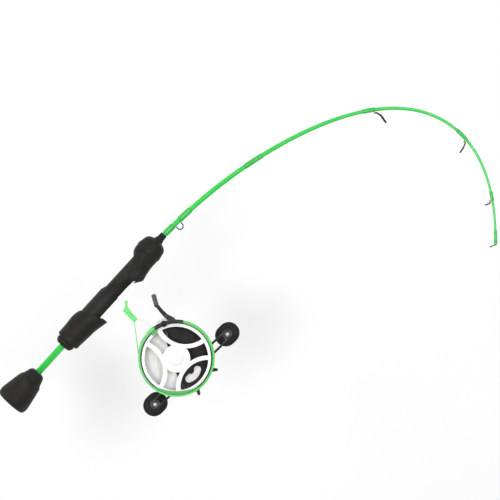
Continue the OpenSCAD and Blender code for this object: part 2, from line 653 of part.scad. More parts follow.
// The cap is a closed cup over the shaft's screw.
module spool_cap() color(white) at_reel() difference() {
    lathe_y([[0, spool_near - 2.9], [4.4, spool_near - 2.8], [5.6, spool_near - 2.3], [6.2, spool_near - 1.3],
             [6.4, spool_near - 0.4], [3.4, spool_near - 0.4], [3.4, spool_near - 2.3], [0, spool_near - 2.3]]);
    for (turn = [0 : 30 : 330]) rotate([0, turn, 0]) translate([7, 0, 0]) rod_y(0.8, [-20, 0]);
}

shaft_near = spool_near - 0.7;
module spool_shaft() color("#c4c8cc") at_reel() difference() {
    rod_y(spool_shaft_r, [shaft_near, cover[0] + 1]);
    rod_y(0.8 + seat_fit, [shaft_near - 1, shaft_near + 5]);
}

module shaft_screw() color("#c4c8cc") at_reel() difference() {
    union() {
        lathe_y([[0, shaft_near - 1.1], [2, shaft_near - 1.1], [2.6, shaft_near - 0.6],
                 [2.6, shaft_near - 0.05], [0, shaft_near - 0.05]]);
        rod_y(0.8, [shaft_near - 0.2, shaft_near + 4.5]);
    }
    translate([-0.35, shaft_near - 2, -3]) cube([0.7, 1.5, 6]);
}

// ---- gear housing ----
plate_screw_turns = [-112, -30, 25];
case_r = gear_module * (drive_teeth / 2 + 1) + 2;
case_wall = 1.4;
ears = [[-0.895 * case_r, -centre_distance - 0.625 * case_r], [0.895 * case_r, -centre_distance - 0.625 * case_r],
        [-8.6, 1.2], [20.6, 20.4]];
trigger_spot = trigger_r * [cos(trigger_angle), sin(trigger_angle)];
module case_outline(inset) intersection() {
    circle(ring_r + 3.2 - inset);
    hull() {
        translate([0, -centre_distance]) circle(case_r - inset);
        circle(8.5 - inset);
        translate(trigger_spot) circle(7.5 - inset);
    }
}
module ear_outline() intersection() {
    circle(ring_r + 1.6);
    for (ear = ears) translate(ear) circle(2.7);
}
module ear_holes(span) for (ear = ears) translate([ear[0], 0, ear[1]]) rod_y(screw_r + 0.1, span);
module shaft_holes(span, near = 0) {
    rod_y(hex_r + 0.5, [near, span[1]]);
    translate([0, 0, -centre_distance]) rod_y(crank_shaft_r + fit, span);
    rotate([0, -trigger_angle, 0]) translate([trigger_r, 0, 0]) rod_y(trigger_shaft_r + 0.1, [near, span[1]]);
}

module back_plate() color("#2c2e30") at_reel() difference() {
    along_y(plate) {
        intersection() {
            circle(ring_r - 0.3);
            rotate(-30) translate([-1.6, -ring_r]) square(2 * ring_r);
        }
        circle(11.6);
        intersection() {
            circle(ring_r - 0.3);
            translate(trigger_spot) circle(4);
        }
    }
    // kidney slot below the crank boss
    along_y([plate[0] - 1, plate[1] + 1]) difference() {
        union() {
            translate([-7, -centre_distance - 4]) circle(3.4);
            translate([4.8, -centre_distance - 4]) circle(3.4);
            intersection() {
                translate([-1.1, -centre_distance + 4.9]) circle(13.9);
                translate([-8, -centre_distance - 12.6]) square([13.8, 11.8]);
            }
        }
        translate([0, -centre_distance]) circle(crank_shaft_r + 1.1);
    }
    shaft_holes([plate[0] + 0.5, 20], plate[0] - 1);
    ear_holes([plate[0] + 0.5, 20]);
    for (a = plate_screw_turns) rotate([0, -a, 0]) translate([ring_r - 1.7, 0, 0]) rod_y(screw_r + 0.1, [0, 20]);
}

module plate_screws() color("#c4c8cc") at_reel()
    for (a = plate_screw_turns) rotate([0, -a, 0]) translate([ring_r - 1.7, 0, 0]) difference() {
        union() {
            rod_y(screw_r, [far_rail[0] + 0.4, plate[1] + 0.5]);
            rod_y(1.7, [plate[1] + 0.02, plate[1] + 1]);
        }
        translate([0, plate[1] + 1.5, 0]) rotate([90, 0, 0]) cylinder(r = 0.8, h = 1, $fn = 6);
    }

post_places = [9, 17];
module gear_housing() color(white) at_reel() difference() {
    union() {
        difference() {
            along_y([case_floor[0], case_end]) {
                case_outline(0);
                ear_outline();
            }
            along_y([case_floor[1], case_end + 1]) difference() {
                case_outline(case_wall);
                for (ear = ears) translate(ear) circle(2.3);
            }
        }
        for (place = post_places) rotate([0, -trigger_angle, 0]) translate([place, 0, 0])
            rod_y(1.2, [case_floor[1] - lap, case_end - 0.1]);
    }
    shaft_holes([case_floor[0] - 1, case_floor[1] + 0.5], case_floor[0] - 1);
    ear_holes([0, case_end + 1]);
    for (a = plate_screw_turns) rotate([0, -a, 0]) translate([ring_r - 1.7, 0, 0])
        rod_y(1.9, [plate[1] - lap, plate[1] + 1.2]);
}

module housing_cover() color(white) at_reel() difference() {
    union() {
        along_y(cover) {
            case_outline(0);
            ear_outline();
        }
        translate([0, 0, -centre_distance])
            lathe_y([[0, cover[1] - lap], [8.2, cover[1] - lap], [7.6, cover[1] + 0.7], [0, cover[1] + 0.7]]);
    }
    translate([0, 0, -centre_distance]) rod_y(crank_bearing_r + seat_fit, [cover[0] - 1, cover[1] + 0.2]);
    translate([0, 0, -centre_distance]) rod_y(crank_bearing_r - 0.8, [cover[0] - 1, cover[1] + 2]);
    rod_y(spool_shaft_r + seat_fit, [cover[0] - 1, cover[0] + 1.1]);
    rotate([0, -trigger_angle, 0]) translate([trigger_r, 0, 0])
        rod_y(trigger_shaft_r + fit, [cover[0] - 1, cover[0] + 1.1]);
    ear_holes([cover[0] - 1, cover[1] + 1]);
    for (ear = ears) translate([ear[0], 0, ear[1]]) rod_y(1.9, [cover[1] - 1.05, cover[1] + 1]);
}

module cover_screws() color("#c4c8cc") at_reel() for (ear = ears) translate([ear[0], 0, ear[1]]) difference() {
    union() {
        rod_y(screw_r, [plate[0] + 0.6, cover[1] - 0.6]);
        rod_y(1.8, [cover[1] - 1, cover[1] - 0.1]);
    }
    translate([0, cover[1] + 0.4, 0]) rotate([90, 0, 0]) cylinder(r = 0.8, h = 1, $fn = 6);
}

module crank_bearing() color("#b9bdc2") at_crank() difference() {
    rod_y(crank_bearing_r, [cover[0] + 0.05, cover[1] + 0.15]);
    rod_y(crank_shaft_r + fit, [cover[0] - 1, cover[1] + 1]);
    for (face = [cover[0] - 1, cover[1] - 0.1]) difference() {
        rod_y(4.2, [face, face + 1.3]);
        rod_y(3, [face - 1, face + 3]);
    }
}

// ---- gear train ----
// A spur gear's outline. The teeth are trapezoids that clear each other at every turn.
module gear_outline(teeth) {
    pitch_r = gear_module * teeth / 2;
    step = 360 / teeth;
    polygon([for (i = [0 : teeth - 1], edge = [[-0.36, -1.2], [-0.135, 0.8], [0.135, 0.8], [0.36, -1.2]])
        let (a = (i + edge[0]) * step, r = pitch_r + edge[1] * gear_module) r * [cos(a), sin(a)]]);
}
module drive_gear() color("#c9a24a") at_crank() difference() {
    along_y(gear_y) gear_outline(drive_teeth);
    rod_y(crank_shaft_r + seat_fit, [0, 30]);
    for (turn = [0 : 60 : 300]) rotate([0, turn, 0]) translate([6.6, 0, 0]) rod_y(2, [0, 30]);
}

washer_t = 0.7;
module drag_washers() color("#3b2f26") at_crank() for (i = [0 : 2]) difference() {
    y0 = gear_y[1] + 0.02 + i * (washer_t + 0.05);
    rod_y(9 - i * 0.15, [y0, y0 + washer_t]);
    rod_y(crank_shaft_r + seat_fit + (i == 1 ? 0.4 : 0), [0, 30]);
}

pressure_y = [gear_y[1] + 2.35, gear_y[1] + 3.55];
module pressure_plate() color("#b9bdc2") at_crank() difference() {
    lathe_y([[0, pressure_y[0]], [9, pressure_y[0]], [9, pressure_y[1] - 0.4], [8.6, pressure_y[1]],
             [3.6, pressure_y[1]], [3.6, cover[0]], [0, cover[0]]]);
    rod_y(crank_shaft_r + seat_fit, [0, 30]);
}

module crank_shaft() color("#c4c8cc") at_crank() union() {
    rod_y(crank_shaft_r, [plate[0] + 0.6, arm_y[1] + 3.1]);
    rod_y(2.9, [case_floor[1] + 0.15, gear_y[0] - 0.02]);
}

module pinion() color("#c9a24a") at_reel() difference() {
    shoulder = gear_module * (pinion_teeth / 2 - 1.2) - 0.18;
    union() {
        rotate([0, 30, 0]) translate([0, hex_y[1], 0]) rotate([90, 0, 0])
            cylinder(r = hex_r, h = hex_y[1] - hex_y[0], $fn = 6);
        along_y(pinion_teeth_y) gear_outline(pinion_teeth);
        lathe_y([[0, hex_y[1] - lap], [hex_r + 0.15, hex_y[1] - lap], [hex_r + 0.15, gear_y[0]],
                 [shoulder, gear_y[0]], [shoulder, groove_y[0]], [2.75, groove_y[0]], [2.75, groove_y[1]],
                 [4.4, groove_y[1]], [4.4, pinion_end], [0, pinion_end]]);
    }
    rod_y(spool_shaft_r + fit, [0, 30]);
}

// ---- trigger and free-spool release ----
cam_reach = 6;
cam_y = [13.6, 15.6];
cam_slope = yoke_travel / (cam_reach * trigger_travel * PI / 180);
tab_gap = 0.25;
module at_cam() at_trigger() rotate([0, -trigger_angle, 0]) translate([-cam_reach, 0, 0]) children();
// A wedge along the cam's path: points are [place along the path, place across the reel]
module cam_block(points) translate([-1.5, 0, 0]) rotate([90, 0, 90]) linear_extrude(3)
    polygon([for (p = points) [p[1], p[0]]]);

module release_yoke() color("#9aa0a5") union() {
    difference() {
        at_reel() along_y(yoke_y) difference() {
            union() {
                circle(5.6);
                hull() {
                    circle(4.6);
                    rotate(trigger_angle) translate([trigger_r - cam_reach, 0]) circle(2.6);
                }
            }
            circle(2.75 + 0.12);
            rotate(trigger_angle + 180) translate([0, -2.95]) square([10, 5.9]);
        }
        for (place = post_places) at_reel() rotate([0, -trigger_angle, 0]) translate([place, 0, 0])
            rod_y(1.2 + fit, [0, 30]);
    }
    low = cam_y[1] + tab_gap * cam_slope + 0.15;
    top = yoke_y[0] + lap;
    at_cam() cam_block([[-1.2, low], [-1.2 + (top - low) / cam_slope, top], [-1.2, top]]);
}

module trigger_shaft() color("#c4c8cc") union() {
    at_trigger() {
        lathe_y([[0, trigger_y[0] - 0.9], [1.6, trigger_y[0] - 0.9], [2.2, trigger_y[0] - 0.5],
                 [2.2, trigger_y[0] - 0.05], [0, trigger_y[0] - 0.05]]);
        rod_y(trigger_shaft_r, [trigger_y[0] - 0.4, cover[0] + 1]);
        along_y(cam_y) {
            circle(2.4);
            rotate(trigger_angle) {
                translate([-cam_reach, -1.6]) square([cam_reach, 3.2]);
                translate([-cam_reach, 0]) circle(1.9);
            }
        }
    }
    high = yoke_y[0] - 0.25;
    at_cam() cam_block([[-1.2 + tab_gap, cam_y[1] - lap], [1.5, cam_y[1] - lap], [1.5, high],
                        [-1.2 + tab_gap + (high - cam_y[1]) / cam_slope, high], [-1.2 + tab_gap, cam_y[1]]]);
}

function coil(t) = 1.75 + 0.5 * t;                   // radius of the trigger's spiral spring
module trigger_spring() color("#8d9297") {
    turns = 2;
    wire = 0.3;
    at_trigger() along_y([case_floor[1] + 0.15, case_floor[1] + 0.95]) difference() {
        polygon(concat(
            [for (t = [0 : 1 / 24 : turns]) (coil(t) + wire / 2) * [cos(360 * t), sin(360 * t)]],
            [for (t = [turns : -1 / 24 : 0]) (coil(t) - wire / 2) * [cos(360 * t), sin(360 * t)]]));
        circle(trigger_shaft_r + 0.2);
    }
}

// Each knot of the lever is [x, z, radius, near face, far face], from the spool axis, for the smallest ring.
// The lever moves out with the ring.
arm_shift = (ring_r - 35.2) * [cos(trigger_angle), sin(trigger_angle)];
arm_path = [[23.6, 26.4, 3, -12.2, -10.6], [22.6, 33.2, 2.1, -12.2, -8.8], [22.9, 39.2, 1.7, -10.4, -5.2],
            [23.7, 45, 1.6, -7, -2.2]];
pad_middle = [25.9, 50.4];
pad_lean = 58;
pad_length = 12;
pad_w = 4;
pad_y = [-6.4, 4.4];
module at_lever() at_reel() translate([arm_shift[0], 0, arm_shift[1]]) children();
module arm_knot(k, grow = 0) translate([k[0], 0, k[1]]) rod_y(k[2] + grow, [k[3] - grow, k[4] + grow], $fn = 24);
module pad_tongue(grow) translate([pad_middle[0], 0, pad_middle[1]]) rotate([0, -pad_lean, 0])
    translate([-5 - grow, -4.2 - grow, -0.8 - grow]) cube([7 + 2 * grow, 6.4 + 2 * grow, 1.6 + 2 * grow]);
module trigger_lever() color("#202124") {
    difference() {
        at_reel() along_y(trigger_y) {
            arc_band(ring_r + 0.8, ring_r - ring_wall - 0.4, 32, 78);
            rotate(trigger_angle) translate([trigger_r, 0]) circle(2.9);
        }
        at_trigger() rod_y(trigger_shaft_r + seat_fit, [-20, 20]);
    }
    difference() {
        at_lever() {
            for (i = [0 : len(arm_path) - 2]) hull() {
                arm_knot(arm_path[i]);
                arm_knot(arm_path[i + 1]);
            }
            pad_tongue(0);
        }
        at_trigger() rod_y(trigger_shaft_r + seat_fit, [-20, 20]);
    }
}

module trigger_pad() color("#5c5e60") at_lever() difference() {
    translate([pad_middle[0], 0, pad_middle[1]]) rotate([0, -pad_lean, 0]) {
        along_y([pad_y[0] + 0.6, pad_y[1] - 0.6]) pad_outline(0);
        along_y(pad_y) pad_outline(0.6);
    }
    pad_tongue(0.05);
    hull() for (i = [2, 3]) arm_knot(arm_path[i], 0.05);
}
module pad_outline(inset) {
    square([pad_length - 2 * inset, pad_w - 2 - 2 * inset], center = true);
    square([pad_length - 2 - 2 * inset, pad_w - 2 * inset], center = true);
    for (x = [-1, 1], z = [-1, 1])
        translate([x * (pad_length / 2 - 1 - inset), z * (pad_w / 2 - 1 - inset)]) circle(1);
}

// ---- drag and crank ----
module spring_washers() color("#b9bdc2") at_crank()
    for (i = [0, 1]) let (y0 = cover[1] + 0.2 + i * 0.62) difference() {
    lathe_y([[2.1, y0], [4, y0 + (i == 0 ? 0.22 : 0)], [4, y0 + 0.34 + (i == 0 ? 0.22 : 0)], [2.1, y0 + 0.34]]);
    rod_y(crank_shaft_r + fit, [0, 40]);
}

star_points = 5;
module star_drag() color("#1d1d1f") at_star() difference() {
    union() {
        along_y([star_y[0] + 1, star_y[1] - 0.6]) {
            circle(8.6);
            for (i = [0 : star_points - 1]) rotate(i * 360 / star_points) {
                polygon([[6, -4.4], [star_r - 1.3, -1.3], [star_r - 1.3, 1.3], [6, 4.4]]);
                translate([star_r - 1.3, 0]) circle(1.3);
            }
        }
        lathe_y([[0, star_y[0]], [5, star_y[0]], [7.4, star_y[0] + 1.1], [7.4, star_y[1] - 1],
                 [6.4, star_y[1]], [0, star_y[1]]]);
        for (i = [0 : star_points - 1]) rotate([0, -i * 360 / star_points, 0])
            translate([6, star_y[1] - 0.7, -0.7]) cube([star_r - 8, 0.6, 1.4]);
    }
    rod_y(crank_shaft_r + fit, [0, 50]);
}

module arm_spacer() color("#b9bdc2") at_crank() difference() {
    rod_y(4.2, [star_y[1] + 0.2, arm_y[0] - 0.05]);
    rod_y(crank_shaft_r + seat_fit, [0, 50]);
}

module crank_arm() color("#1d1d1f") at_crank() rotate([0, crank_tilt, 0]) difference() {
    along_y(arm_y) {
        for (side = [-1, 1]) {
            translate([0, side * bar_gap / 2]) square([2 * crank_r - 4, bar_w], center = true);
            translate([side * crank_r, 0]) circle(5.1);
            translate([side * (crank_r - 3), 0]) square([4, bar_gap + bar_w], center = true);
        }
        circle(7.2);
    }
    rod_y(crank_shaft_r + seat_fit, [0, 50]);
    for (side = [-1, 1]) translate([side * crank_r, 0, 0]) rod_y(1.5 + seat_fit, [0, 50]);
}

module crank_nut() color("#c4c8cc") at_crank() difference() {
    intersection() {
        translate([0, arm_y[1] + 3.4, 0]) rotate([90, 0, 0]) cylinder(r = 4.3, h = 3.35, $fn = 6);
        lathe_y([[0, arm_y[1]], [4.3, arm_y[1]], [4.3, arm_y[1] + 2.6], [3.6, arm_y[1] + 3.4], [0, arm_y[1] + 3.4]]);
    }
    rod_y(crank_shaft_r + seat_fit, [0, 50]);
}

knob_end = knob_y + knob_depth;
module knob_pins() color("#d5d7d9") for (side = [-1, 1]) at_knobs(side) {
    lathe_y([[0, arm_y[0] - 1.2], [1.2, arm_y[0] - 1.2], [2.1, arm_y[0] - 0.7],
             [2.3, arm_y[0] - 0.03], [0, arm_y[0] - 0.03]]);
    rod_y(1.5, [arm_y[0] - 0.5, knob_end - 1.1]);
    rod_y(2.6, [arm_y[1] + 0.05, knob_y - 0.1]);
    rod_y(2.7, [knob_end - 2.1, knob_end - 1]);
}

module knob(side) color("#1b1b1d") at_knobs(side) difference() {
    hull() for (end = [-1, 1]) translate([end * (knob_l - knob_w) / 2, 0, 0])
        lathe_y([[0, knob_y], [knob_w / 2 - 3.4, knob_y], [knob_w / 2 - 1.2, knob_y + 0.9],
                 [knob_w / 2 - 0.2, knob_y + 2.8], [knob_w / 2, knob_y + 4.6], [knob_w / 2 - 0.3, knob_end - 4.6],
                 [knob_w / 2 - 1.1, knob_end - 2.2], [knob_w / 2 - 2.8, knob_end - 0.5],
                 [knob_w / 2 - 4.6, knob_end], [0, knob_end]], $fn = 48);
    rod_y(1.5 + fit, [0, 80]);
    rod_y(3.1, [knob_end - 2.2, knob_end + 1]);
}
module knob_rear() knob(-1);
module knob_front() knob(1);

blank();
butt_cap();
lock_nut();
rear_hood();
seat_tube();
front_grip();
grip_nose();
winding_check();
hook_keeper();
wrap_keeper_rear();
wrap_keeper_front();
wrap_band();
wrap_guide_1();
wrap_guide_2();
wrap_guide_3();
wrap_tip();
guide_frame_1();
guide_frame_2();
guide_frame_3();
guide_ring_1();
guide_ring_2();
guide_ring_3();
tip_tube();
tip_frame();
tip_ring();
reel_foot();
foot_screw();
reel_frame();
stem_cover_near();
stem_cover_far();
spool_rim();
spool_web();
spool_bearings();
spool_cap();
spool_shaft();
shaft_screw();
back_plate();
plate_screws();
gear_housing();
housing_cover();
cover_screws();
crank_bearing();
crank_shaft();
drive_gear();
drag_washers();
pressure_plate();
pinion();
release_yoke();
trigger_lever();
trigger_pad();
trigger_shaft();
trigger_spring();
spring_washers();
star_drag();
arm_spacer();
crank_arm();
crank_nut();
knob_pins();
knob_rear();
knob_front();
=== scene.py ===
"""Looks of the ice fishing rod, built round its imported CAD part. Lengths are metres in the row frame."""

import json
from math import acos, atan2, cos, pi, radians, sin

import bpy
import numpy as np
from mathutils import Matrix, Vector

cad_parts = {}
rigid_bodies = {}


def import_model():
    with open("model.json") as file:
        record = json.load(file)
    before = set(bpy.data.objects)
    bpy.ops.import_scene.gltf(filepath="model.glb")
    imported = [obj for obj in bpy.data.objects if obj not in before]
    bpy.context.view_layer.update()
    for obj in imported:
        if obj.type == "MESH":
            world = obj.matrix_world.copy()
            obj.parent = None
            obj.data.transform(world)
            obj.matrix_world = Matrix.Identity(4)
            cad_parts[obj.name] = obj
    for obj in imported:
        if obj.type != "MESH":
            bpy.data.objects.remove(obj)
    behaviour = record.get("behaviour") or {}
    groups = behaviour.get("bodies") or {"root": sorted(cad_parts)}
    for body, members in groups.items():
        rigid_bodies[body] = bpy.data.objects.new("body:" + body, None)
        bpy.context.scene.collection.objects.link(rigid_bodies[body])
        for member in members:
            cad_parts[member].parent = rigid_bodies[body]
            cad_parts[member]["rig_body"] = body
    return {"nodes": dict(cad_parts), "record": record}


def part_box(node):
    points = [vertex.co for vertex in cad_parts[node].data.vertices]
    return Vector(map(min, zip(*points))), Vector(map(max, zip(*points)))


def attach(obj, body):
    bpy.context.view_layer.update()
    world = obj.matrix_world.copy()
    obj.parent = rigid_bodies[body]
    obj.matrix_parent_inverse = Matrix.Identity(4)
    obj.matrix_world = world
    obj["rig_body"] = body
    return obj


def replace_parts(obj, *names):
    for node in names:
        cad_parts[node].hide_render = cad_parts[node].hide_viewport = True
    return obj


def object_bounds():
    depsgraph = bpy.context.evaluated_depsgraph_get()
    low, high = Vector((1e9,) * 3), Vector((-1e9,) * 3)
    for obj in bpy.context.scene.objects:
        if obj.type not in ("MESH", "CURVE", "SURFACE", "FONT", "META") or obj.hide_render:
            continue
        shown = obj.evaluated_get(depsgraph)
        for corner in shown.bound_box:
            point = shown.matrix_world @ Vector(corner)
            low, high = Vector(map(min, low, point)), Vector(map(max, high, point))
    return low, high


MM = 0.001
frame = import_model()
nodes = frame["nodes"]
cad_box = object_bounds()


# ---- node materials ----
def colour(red, green, blue):
    """An sRGB colour, 0 to 255, as linear RGBA."""
    linear = [((v / 255 + 0.055) / 1.055) ** 2.4 if v > 10 else v / 3294.6 for v in (red, green, blue)]
    return (*linear, 1)


class Shader:
    """A node material that is built from a few repeated steps."""

    def __init__(self, name, **sockets):
        self.material = bpy.data.materials.new(name)
        self.material.use_nodes = True
        self.tree = self.material.node_tree
        self.surface = self.tree.nodes["Principled BSDF"]
        for socket, value in sockets.items():
            self.surface.inputs[socket.replace("_", " ")].default_value = value
        self.place = self.tree.nodes.new("ShaderNodeTexCoord")

    def node(self, kind, inputs=None, **settings):
        made = self.tree.nodes.new(kind)
        for key, value in settings.items():
            setattr(made, key, value)
        for key, value in (inputs or {}).items():
            if isinstance(value, bpy.types.NodeSocket):
                self.tree.links.new(value, made.inputs[key])
            else:
                made.inputs[key].default_value = value
        return made

    def noise(self, size, detail=3.0):
        """Noise whose features are about size across."""
        mapping = self.node("ShaderNodeMapping", {"Vector": self.place.outputs["Object"],
                                                  "Scale": (1 / size, 1 / size, 1 / size)})
        return self.node("ShaderNodeTexNoise", {"Vector": mapping.outputs[0], "Scale": 1.0, "Detail": detail,
                                                "Roughness": 0.55}).outputs["Fac"]

    def ramp(self, factor, *stops):
        """Colours or greys placed along a factor. Each stop is (place, value)."""
        ramp = self.node("ShaderNodeValToRGB", {"Fac": factor})
        elements = ramp.color_ramp.elements
        while len(elements) < len(stops):
            elements.new(0.5)
        for element, (place, value) in zip(elements, stops):
            element.position = place
            element.color = value if isinstance(value, tuple) else (value, value, value, 1)
        return ramp.outputs["Color"]

    def mix(self, factor, a, b, mode="MIX"):
        mixed = self.node("ShaderNodeMix", data_type="RGBA", blend_type=mode)
        for key, value in ((0, factor), (6, a), (7, b)):
            if isinstance(value, bpy.types.NodeSocket):
                self.tree.links.new(value, mixed.inputs[key])
            else:
                mixed.inputs[key].default_value = value
        return mixed.outputs[2]

    def bump(self, height, depth, strength=0.5, below=None):
        inputs = {"Height": height, "Distance": depth, "Strength": strength}
        if below is not None:
            inputs["Normal"] = below
        return self.node("ShaderNodeBump", inputs).outputs["Normal"]

    def feed(self, **links):
        for socket, source in links.items():
            self.tree.links.new(source, self.surface.inputs[socket.replace("_", " ")])
        return self.material


def worn(shader):
    """0 on flat faces, up to 1 on edges that hands and pockets rub."""
    point = shader.node("ShaderNodeNewGeometry").outputs["Pointiness"]
    broken = shader.noise(1.4 * MM, 4.0)
    edge = shader.ramp(point, (0.51, 0.0), (0.6, 1.0))
    return shader.mix(1.0, edge, shader.ramp(broken, (0.42, 0.0), (0.62, 0.8)), "MULTIPLY")


def painted(name, base, deep, rough=(0.25, 0.4), grain=0.35, coat=0.4, depth=0.02, size=6, rubbed=None,
            specular=0.5):
    """Smooth paint or hard plastic: cloudy colour, uneven gloss, rubbed edges and a faint orange peel."""
    s = Shader(name, Coat_Weight=coat, Coat_Roughness=0.12, Specular_IOR_Level=specular)
    cloud = s.noise(size * MM)
    fine = s.noise(grain * MM, 2.0)
    tint = s.ramp(cloud, (0.3, deep), (0.68, base))
    if rubbed:
        tint = s.mix(worn(s), tint, rubbed)
    return s.feed(Base_Color=tint, Roughness=s.ramp(s.noise(2.2 * MM, 4.0), (0.3, rough[0]), (0.7, rough[1])),
                  Normal=s.bump(fine, depth * MM, 0.4))


def rubbery(name, base, high, rough=(0.5, 0.72), pebble=0.45, depth=0.05):
    """Matte soft-touch skin: fine pebble, paler rubbed patches and edges."""
    s = Shader(name, Sheen_Weight=0.05, Sheen_Roughness=0.4, Specular_IOR_Level=0.2)
    cells = s.node("ShaderNodeTexVoronoi", {"Vector": s.place.outputs["Object"], "Scale": 1 / (pebble * MM)},
                   feature="SMOOTH_F1").outputs["Distance"]
    tint = s.ramp(s.noise(9 * MM, 4.0), (0.32, base), (0.72, high))
    return s.feed(Base_Color=s.mix(worn(s), tint, tuple(min(1, 1.8 * v) for v in high)),
                  Roughness=s.ramp(s.noise(3 * MM, 5.0), (0.3, rough[0]), (0.7, rough[1])),
                  Normal=s.bump(s.noise(1.6 * MM, 3.0), 0.05 * MM, 0.3, s.bump(cells, depth * MM, 0.35)))


def metal(name, base, deep, rough=(0.22, 0.4), grain=0.12, depth=0.01):
    """Machined metal: a fine grain, smudges and uneven gloss."""
    s = Shader(name, Metallic=1.0)
    fine = s.noise(grain * MM)
    smudge = s.noise(3 * MM, 4.0)
    return s.feed(Base_Color=s.ramp(smudge, (0.3, deep), (0.65, base)),
                  Roughness=s.ramp(s.mix(0.5, fine, smudge), (0.35, rough[0]), (0.65, rough[1])),
                  Normal=s.bump(fine, depth * MM, 0.35))


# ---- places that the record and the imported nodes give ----
REEL_X = sum(c.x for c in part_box("spool_rim")) / 2
REEL_Z = sum(c.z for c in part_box("spool_rim")) / 2
RING_R = (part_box("reel_frame")[1].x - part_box("reel_frame")[0].x) / 2
NEAR_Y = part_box("reel_frame")[0].y      # front of the thumb lip, the frame's nearest point

# Where the frame's paint changes, in mm: inwards from its outer face, and back from NEAR_Y.
# These changes are painted light and shade: a lit outer and a shaded inner half of the face, a painted shadow
# line at its inner edge, a shaded thumb lip and black painted shade on the inner walls.
LIT_SHADED_SPLIT, SHADOW_LINE, LIP_SHADE = (1.45, 1.15), (2.15, 2.0), (2.8, 2.6)
WALL_SHADE_EDGE, FACE_DEPTH = (0.5, 0.35), (1.4, 1.6)


def from_spool(s):
    """The shaded point's place, measured from the spool's axis."""
    return s.node("ShaderNodeVectorMath", {0: s.place.outputs["Object"], 1: (REEL_X, 0, REEL_Z)},
                  operation="SUBTRACT").outputs["Vector"]


def frame_paint(name):
    """Green lacquer on the near rail and the outside of the frame, with painted light and shade: a lit and a
    shaded green on the face, a painted shadow line, a shaded thumb lip and black painted shade on the inner
    walls.
    """
    s = Shader(name, Coat_Weight=0.5, Coat_Roughness=0.1)
    place = s.node("ShaderNodeSeparateXYZ", {"Vector": s.place.outputs["Object"]})
    flat = s.node("ShaderNodeVectorMath", {0: from_spool(s), 1: (1, 0, 1)},
                  operation="MULTIPLY").outputs["Vector"]
    radius = s.node("ShaderNodeVectorMath", {0: flat}, operation="LENGTH").outputs["Value"]

    def step(value, low, high):
        return s.node("ShaderNodeMapRange", {"Value": value, "From Min": low, "From Max": high},
                      interpolation_type="SMOOTHSTEP").outputs["Result"]

    def inwards(depths):
        return step(radius, *(RING_R - depth * MM for depth in depths))

    cloud = s.noise(7 * MM)
    # Painted light and shade: a lit green, a shaded green and a black for painted shade, each with a cloudy
    # tone.
    lit_green = s.ramp(cloud, (0.3, colour(40, 196, 66)), (0.7, colour(54, 208, 80)))
    deep = s.ramp(cloud, (0.3, colour(16, 150, 26)), (0.7, colour(28, 166, 36)))
    black = s.ramp(cloud, (0.3, colour(20, 21, 21)), (0.7, colour(30, 31, 31)))
    # The face's outer half is painted in the lit green and its inner half in the shaded green.
    outer_half = inwards(LIT_SHADED_SPLIT)
    face = s.mix(outer_half, deep, lit_green)
    # A black painted shadow line runs along the face's inner edge, at the gap to the spool.
    shadow_line = inwards(SHADOW_LINE)
    # The thumb lip is painted in the shaded green, as painted shade.
    lip_shade = inwards(LIP_SHADE)
    face = s.mix(lip_shade, deep, s.mix(shadow_line, black, face))
    behind = step(place.outputs["Y"], *(NEAR_Y + depth * MM for depth in FACE_DEPTH))
    # The inner walls are painted black as painted shade, and the outside of the frame takes the lit green.
    green_outside_shaded_inside = s.mix(inwards(WALL_SHADE_EDGE), black, lit_green)
    return s.feed(Base_Color=s.mix(behind, face, green_outside_shaded_inside),
                  Roughness=s.ramp(s.noise(2.2 * MM, 4.0), (0.3, 0.2), (0.7, 0.34)),
                  Normal=s.bump(s.noise(0.35 * MM, 2.0), 0.02 * MM, 0.4))


# The back plate's straight edge, as its direction and its distance from the spool axis.
EDGE_X, EDGE_Z, PLATE_EDGE, BLACK_EDGE = 0.866, -0.5, -1.6, -4.9


def liner_paint(name):
    """White moulding with a black margin that carries the back plate's edge on."""
    s = Shader(name, Coat_Weight=0.1, Specular_IOR_Level=0.3)
    across = s.node("ShaderNodeVectorMath", {0: from_spool(s), 1: (EDGE_X, 0, EDGE_Z)},
                    operation="DOT_PRODUCT").outputs["Value"]
    margin = s.node("ShaderNodeMapRange", {"Value": across, "From Min": (BLACK_EDGE - 0.05) * MM,
                                           "From Max": (BLACK_EDGE + 0.05) * MM}).outputs["Result"]
    cloud = s.noise(5 * MM)
    white = s.ramp(cloud, (0.3, colour(246, 247, 245)), (0.7, colour(252, 252, 250)))
    black = s.ramp(cloud, (0.3, colour(25, 26, 26)), (0.7, colour(34, 35, 35)))
    return s.feed(Base_Color=s.mix(margin, white, black),
                  Roughness=s.ramp(s.noise(2.2 * MM, 4.0), (0.3, 0.36), (0.7, 0.52)),
                  Normal=s.bump(s.noise(0.35 * MM, 2.0), 0.02 * MM, 0.4))


